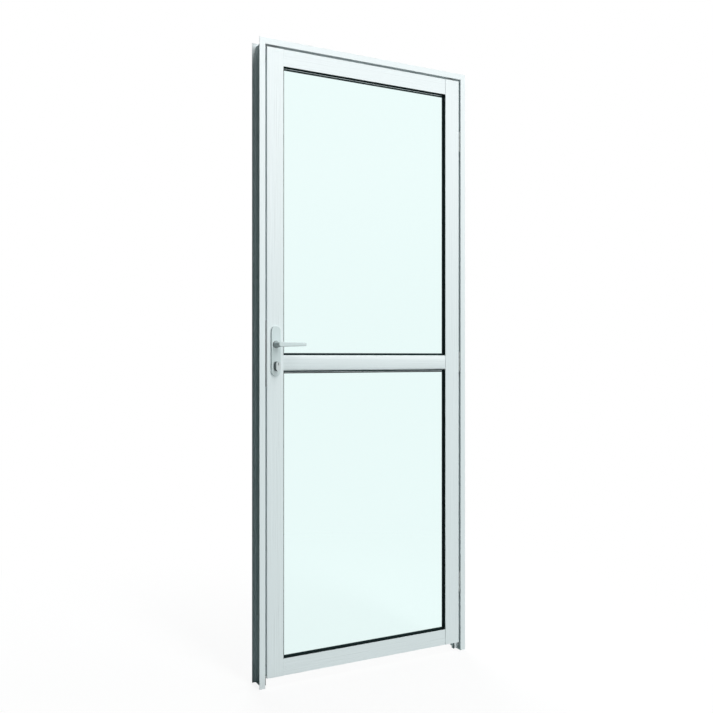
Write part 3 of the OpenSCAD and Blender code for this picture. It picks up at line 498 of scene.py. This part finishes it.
def anodised(name, along):
    """Satin anodised aluminium, with fine die lines along axis 0 (X) or 2 (Z)."""
    look = settings().profile
    stretch = [1 / look.line_pitch] * 3
    stretch[along] = LINE_BREAKS
    finish = Finish(name, Metallic=look.metallic, IOR=1.45)
    lines = finish.noise(stretch, detail=3)
    clouds = finish.noise([CLOUDS] * 3, detail=2)
    finish.vary_colour(clouds, look.colour, swing=0.012)
    finish.vary_roughness(lines, look.roughness, swing=0.04)
    finish.bump(lines, strength=0.04, height=0.00006)
    return finish


def float_glass():
    """Clear float glass with a pale green tint and the faint waviness of a real sheet."""
    look = settings().glazing
    finish = Finish("float_glass", Transmission_Weight=1.0, IOR=look.ior, Roughness=0.0)
    drift = finish.noise(stretch=[0.8] * 3, detail=1)
    finish.vary_colour(drift, look.tint, swing=0.004)
    finish.bump(drift, strength=0.02, height=0.001)
    return finish


def rubber():
    """Black gasket rubber with a fine grain."""
    look = settings().glazing
    finish = Finish("gasket_rubber", IOR=1.45, Specular_Tint=opaque(look.rubber_gloss))
    grain = finish.noise(stretch=[1800] * 3, detail=2)
    finish.vary_colour(grain, look.rubber, swing=0.25)
    finish.vary_roughness(grain, mean=0.26, swing=0.05)
    finish.bump(grain, strength=0.1, height=0.00004)
    return finish


def satin_metal(name, colour, metallic, roughness, stretch):
    """Metal with a brushed or cast grain, stretched by features per metre on each axis."""
    finish = Finish(name, Metallic=metallic, IOR=1.45)
    grain = finish.noise(stretch, detail=4)
    finish.vary_colour(grain, colour, swing=0.03)
    finish.vary_roughness(grain, roughness, swing=0.06)
    finish.bump(grain, strength=0.1, height=0.00003)
    return finish


def nickel_casing_painted_shade():
    """Nickel plate, bright on the two faces of the cylinder, with painted shade darker along its side."""
    look = settings().hardware
    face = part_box("cylinder_body")[1].y
    drawn = (900, 60, 900)
    finish = satin_metal("nickel_casing_painted_shade", look.nickel, metallic=0.05, roughness=0.35, stretch=drawn)
    # Painted shade along the cylinder's side, behind its two bright faces
    finish.paint_barrel_shade(look.painted_barrel_shade, face - look.face_depth, face - look.face_depth / 2)
    return finish


def moulded():
    """Dark nylon with a fine moulded grain."""
    finish = Finish("moulded_nylon", IOR=1.5)
    grain = finish.noise(stretch=[900] * 3, detail=2)
    finish.vary_colour(grain, settings().hardware.nylon, swing=0.1)
    finish.vary_roughness(grain, mean=0.5, swing=0.06)
    finish.bump(grain, strength=0.15, height=0.00003)
    return finish


def dress(names, finish, edge_radius=0.0):
    """Gives CAD nodes a finish and softens their edges, leaving their meshes as they are."""
    for name in names:
        node = NODES[name]
        node.data.materials.clear()
        node.data.materials.append(finish.material)
        if edge_radius > 0:
            soften_edges(node, edge_radius)


def soften_edges(node, radius):
    """Rounds the sharp edges of a CAD node with modifiers."""
    weld = node.modifiers.new("joined_corners", "WELD")
    weld.merge_threshold = WELD_REACH
    bevel = node.modifiers.new("soft_edges", "BEVEL")
    bevel.width = radius
    bevel.segments = settings().edge_segments
    bevel.limit_method = "ANGLE"
    bevel.angle_limit = ROUND_ANGLE
    bevel.use_clamp_overlap = True
    bevel.harden_normals = True


def swept_piece(name, rings, finish):
    """A closed solid on the leaf, swept through rings of equally many points and capped at both ends."""
    shape = bmesh.new()
    loops = [[shape.verts.new(point) for point in ring] for ring in rings]
    for first, second in zip(loops, loops[1:]):
        for i, corner in enumerate(first):
            j = (i + 1) % len(first)
            shape.faces.new((corner, first[j], second[j], second[i]))
    shape.faces.new(loops[0])
    shape.faces.new(loops[-1])
    bmesh.ops.recalc_face_normals(shape, faces=shape.faces)
    mesh = bpy.data.meshes.new(name)
    shape.to_mesh(mesh)
    shape.free()
    mesh.shade_smooth()
    mesh.set_sharp_from_angle(angle=SHARP_ANGLE)
    mesh.materials.append(finish.material)
    piece = bpy.data.objects.new(name, mesh)
    bpy.context.scene.collection.objects.link(piece)
    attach(piece, "leaf")
    return piece


def gasket_trim(name, gasket, section, finish):
    """A straight piece along the upper lip of a gasket, with one section of (y, z) points all along."""
    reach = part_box(gasket)[1].x - GASKET_SEAT - GASKET_LIP
    swept_piece(name, [[(x, y, z) for y, z in section] for x in (-reach, reach)], finish)


def glazing_line(name, gasket, inset, finish):
    """A fine half-round line along the upper lip of a gasket, at a distance from the rail's edge."""
    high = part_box(gasket)[1]
    radius = settings().glazing.line_radius
    height = high.z - GASKET_SEAT - inset
    lip_front = high.y - GASKET_LIP_T
    section = []
    for step in range(LINE_FACETS + 1):
        angle = math.pi * step / LINE_FACETS
        section.append((lip_front - radius * math.sin(angle), height + radius * math.cos(angle)))
    gasket_trim(name, gasket, section, finish)


def gasket_fin(name, gasket, finish):
    """The thin fin that the upper lip of a gasket runs out to, close against the pane."""
    look = settings().glazing
    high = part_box(gasket)[1]
    back = high.y - FIN_GAP
    top = high.z - GASKET_SEAT - GASKET_LIP
    bottom = top - look.fin_width
    section = [(back, top), (high.y - GASKET_LIP_T, top), (back - look.fin_edge, bottom), (back, bottom)]
    gasket_trim(name, gasket, section, finish)


def latch_coil(finish):
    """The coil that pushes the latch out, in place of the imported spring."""
    look = settings().hardware
    low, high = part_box("latch_spring")
    middle = (low + high) / 2
    length = high.x - low.x
    wire = look.spring_wire / 2
    coil = (high.z - low.z) / 2 - wire
    count = look.spring_turns * COIL_STEPS
    rings = []
    for step in range(count + 1):
        turn = math.tau * step / COIL_STEPS
        along = low.x + wire + (length - 2 * wire) * step / count
        ring = []
        for side in range(WIRE_SIDES):
            around = math.tau * side / WIRE_SIDES
            reach = coil + wire * math.cos(around)
            x = along + wire * math.sin(around)
            ring.append((x, middle.y + reach * math.cos(turn), middle.z + reach * math.sin(turn)))
        rings.append(ring)
    piece = swept_piece("latch_coil", rings, finish)
    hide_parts("latch_spring")
    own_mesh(piece)


class GLASSDOOR_OT_profiles(bpy.types.Operator):
    """Finishes the frame, stiles, rails and beads as satin aluminium"""

    bl_idname = "glass_door.profiles"
    bl_label = "Finish Profiles"

    def execute(self, context):
        radius = settings().profile.edge_radius
        dress(UPRIGHTS, anodised("anodised_upright", along=2), radius)
        dress(CROSSBARS, anodised("anodised_crossbar", along=0), radius)
        return {"FINISHED"}


class GLASSDOOR_OT_glazing(bpy.types.Operator):
    """Finishes the panes, gaskets and seals, and adds the thin fins of the gaskets under the rails"""

    bl_idname = "glass_door.glazing"
    bl_label = "Finish Glazing"

    def execute(self, context):
        black = rubber()
        dress(PANES, float_glass())
        dress(RUBBERS, black, settings().glazing.lip_radius)
        gasket_fin("upper_gasket_fin", "upper_outer_gasket", black)
        gasket_fin("lower_gasket_fin", "lower_outer_gasket", black)
        return {"FINISHED"}


class GLASSDOOR_OT_glazing_lines(bpy.types.Operator):
    """Adds the fine pale lines along the gaskets under the top and middle rails"""

    bl_idname = "glass_door.glazing_lines"
    bl_label = "Add Glazing Lines"

    def execute(self, context):
        look = settings().glazing
        pale = anodised("anodised_line", along=0)
        glazing_line("upper_glazing_line", "upper_outer_gasket", look.upper_inset, pale)
        glazing_line("lower_glazing_line", "lower_outer_gasket", look.lower_inset, pale)
        return {"FINISHED"}


class GLASSDOOR_OT_hinges(bpy.types.Operator):
    """Finishes the hinges and the moulded bushes and washers"""

    bl_idname = "glass_door.hinges"
    bl_label = "Finish Hinges"

    def execute(self, context):
        look = settings().hardware
        coat = satin_metal("hinge_coat", look.hinge, metallic=0.0, roughness=0.45, stretch=[700] * 3)
        dress(HINGE_METAL, coat, look.edge_radius)
        dress(MOULDINGS, moulded())
        return {"FINISHED"}


class GLASSDOOR_OT_handle(bpy.types.Operator):
    """Finishes the levers and their plates"""

    bl_idname = "glass_door.handle"
    bl_label = "Finish Handle"

    def execute(self, context):
        look = settings().hardware
        upright = (900, 900, 40)
        satin = satin_metal("satin_handle", look.handle, metallic=0.05, roughness=0.4, stretch=upright)
        dress(HANDLE_SHELLS, satin, look.edge_radius)
        return {"FINISHED"}


class GLASSDOOR_OT_lock(bpy.types.Operator):
    """Finishes the lock, its cylinder and the plated fasteners"""

    bl_idname = "glass_door.lock"
    bl_label = "Finish Lock"

    def execute(self, context):
        look = settings().hardware
        drawn = (1200, 60, 1200)
        plated = satin_metal("plated_steel", look.steel, metallic=0.7, roughness=0.38, stretch=[500] * 3)
        core = satin_metal("nickel_core", look.nickel, metallic=0.05, roughness=0.3, stretch=drawn)
        dress(PLATED_STEEL, plated)
        # The cylinder body gets nickel with painted shade along its side
        dress(CYLINDER_CASING, nickel_casing_painted_shade(), look.edge_radius)
        dress(CYLINDER_CORE, core)
        return {"FINISHED"}


class GLASSDOOR_OT_latch_spring(bpy.types.Operator):
    """Winds the latch spring"""

    bl_idname = "glass_door.latch_spring"
    bl_label = "Wind Latch Spring"

    def execute(self, context):
        steel = settings().hardware.steel
        latch_coil(satin_metal("spring_steel", steel, metallic=0.8, roughness=0.28, stretch=[400] * 3))
        return {"FINISHED"}


def white_surroundings():
    """A white background. Gloss mirrors a room that is white above and in front, darker low and behind."""
    look = settings().stage
    world = bpy.data.worlds.new("studio")
    world.use_nodes = True
    rays = Rays(world.node_tree)
    direction = rays.place("Generated")
    up = rays.add("SeparateXYZ", {"Vector": direction}).outputs["Z"]
    height = rays.ramp(up, HORIZON, look.gloss_rise, low=look.floor_gloss, high=1.0, smooth=True)
    level = rays.mirrored_level(rays.math("MULTIPLY", height, rays.room_depth(direction)))
    shown = world.node_tree.nodes["Background"]
    rays.feed(shown.inputs["Color"], rays.cool_when_dim(level))
    rays.feed(shown.inputs["Strength"], level)
    light = rays.add("Background", {"Color": opaque(look.ambient_tint), "Strength": look.ambient})
    surface = rays.mix_shader(rays.seen(), light.outputs["Background"], shown.outputs["Background"])
    rays.feed(world.node_tree.nodes["World Output"].inputs["Surface"], surface)
    bpy.context.scene.world = world


def floor_finish():
    """A pale floor that joins the white background and keeps the door's soft shadow."""
    look = settings().stage
    finish = Finish("pale_floor", Roughness=0.9, IOR=1.2)
    rays = Rays(finish.tree)
    seen = rays.seen()
    bounce = opaque([look.floor_bounce] * 3)
    colour = rays.mix_colour(seen, bounce, opaque(look.floor_colour))
    rays.feed(finish.shader.inputs["Base Color"], colour)
    place = rays.place()
    direction = rays.add("VectorMath", {0: place}, operation="NORMALIZE").outputs["Vector"]
    level = rays.mirrored_level(rays.math("MULTIPLY", look.floor_gloss, rays.room_depth(direction)))
    glow = rays.add("Emission", {"Color": rays.cool_when_dim(level), "Strength": level})
    distance = rays.add("VectorMath", {0: place}, operation="LENGTH").outputs["Value"]
    near_white = 1 - look.shadow_depth
    white = rays.ramp(distance, look.shadow_near, look.shadow_far, low=near_white, high=1.0, smooth=True)
    share = rays.math("MULTIPLY", seen, white)
    surface = rays.mix_shader(share, finish.shader.outputs["BSDF"], glow.outputs["Emission"])
    rays.feed(finish.tree.nodes["Material Output"].inputs["Surface"], surface)
    return finish


def lay_floor():
    """A wide flat floor under the jambs."""
    half = settings().stage.floor_width / 2
    level = CAD_LOW[2]
    mesh = bpy.data.meshes.new("floor")
    corners = [(-half, -half, level), (half, -half, level), (half, half, level), (-half, half, level)]
    mesh.from_pydata(corners, [], [(0, 1, 2, 3)])
    mesh.materials.append(floor_finish().material)
    floor = bpy.data.objects.new("floor", mesh)
    bpy.context.scene.collection.objects.link(floor)


def soft_light(name, place, aim, width, height, power):
    """An upright area light that faces an aim point."""
    lamp = bpy.data.lights.new(name, "AREA")
    lamp.shape = "RECTANGLE"
    lamp.energy = power
    lamp.size = width
    lamp.size_y = height
    light = bpy.data.objects.new(name, lamp)
    light.location = place
    light.rotation_euler = (Vector(aim) - Vector(place)).to_track_quat("-Z", "Y").to_euler()
    light.visible_camera = False
    light.visible_glossy = False
    light.visible_transmission = False
    bpy.context.scene.collection.objects.link(light)


def set_lights():
    """Two lights in front of the door, one above it and one behind it."""
    look = settings().stage
    foot = (0, 0, 0)
    middle = (0, 0, CAD_HIGH[2] * AIM_SHARE)
    soft_light(
        "front_fill", place=(0.3, -7.0, 1.05), aim=middle, width=1.2, height=1.2, power=look.fill_power,
    )
    soft_light(
        "front_key", place=(0.6, -5.0, 5.5), aim=middle, width=1.4, height=7.0, power=look.key_power,
    )
    soft_light("top_soft", place=(1.0, 0.0, 4.6), aim=foot, width=2.4, height=2.4, power=look.top_power)
    soft_light("back_soft", place=(1.2, 4.2, 3.0), aim=middle, width=2.4, height=2.4, power=look.back_power)


def set_camera():
    """A level camera that looks at the outside face from the lock side."""
    look = settings().stage
    data = bpy.data.cameras.new("view")
    data.sensor_fit = "HORIZONTAL"
    data.sensor_width = SENSOR_WIDTH
    data.lens = look.lens
    data.clip_end = VIEW_REACH
    camera = bpy.data.objects.new("view", data)
    camera.location = (
        look.aim_x - look.distance * math.sin(look.yaw),
        -look.distance * math.cos(look.yaw),
        look.aim_z,
    )
    camera.rotation_euler = (math.pi / 2, 0, -look.yaw)
    bpy.context.scene.collection.objects.link(camera)
    bpy.context.scene.camera = camera


class GLASSDOOR_OT_stage(bpy.types.Operator):
    """Sets the floor, the white surroundings, the lights and the camera"""

    bl_idname = "glass_door.stage"
    bl_label = "Set Stage"

    def execute(self, context):
        context.scene.view_settings.view_transform = "Standard"
        set_camera()
        white_surroundings()
        lay_floor()
        set_lights()
        return {"FINISHED"}


class GLASSDOOR_PT_panel(bpy.types.Panel):
    """Lists the steps that finish the door, and its settings"""

    bl_idname = "GLASSDOOR_PT_panel"
    bl_label = "Glass Door"
    bl_space_type = "VIEW_3D"
    bl_region_type = "UI"
    bl_category = "Glass Door"

    def draw(self, context):
        for step in STEPS:
            self.layout.operator(step.bl_idname)
        door = context.scene.glass_door
        self.layout.prop(door, "edge_segments")
        for group in ("profile", "glazing", "hardware", "stage"):
            box = self.layout.box()
            box.label(text=group.title())
            part = getattr(door, group)
            for key in part.__annotations__:
                box.prop(part, key)


STEPS = (
    GLASSDOOR_OT_stage,
    GLASSDOOR_OT_profiles,
    GLASSDOOR_OT_glazing,
    GLASSDOOR_OT_glazing_lines,
    GLASSDOOR_OT_hinges,
    GLASSDOOR_OT_handle,
    GLASSDOOR_OT_lock,
    GLASSDOOR_OT_latch_spring,
)
CLASSES = (
    ProfileSettings, GlazingSettings, HardwareSettings, StageSettings, DoorSettings,
    *STEPS, GLASSDOOR_PT_panel,
)


def register():
    for item in CLASSES:
        bpy.utils.register_class(item)
    bpy.types.Scene.glass_door = PointerProperty(type=DoorSettings)


def unregister():
    del bpy.types.Scene.glass_door
    for item in reversed(CLASSES):
        bpy.utils.unregister_class(item)


def main():
    """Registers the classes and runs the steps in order."""
    register()
    bpy.ops.glass_door.stage()
    bpy.ops.glass_door.profiles()
    bpy.ops.glass_door.glazing()
    bpy.ops.glass_door.glazing_lines()
    bpy.ops.glass_door.hinges()
    bpy.ops.glass_door.handle()
    bpy.ops.glass_door.lock()
    bpy.ops.glass_door.latch_spring()


if __name__ == "__main__":
    main()
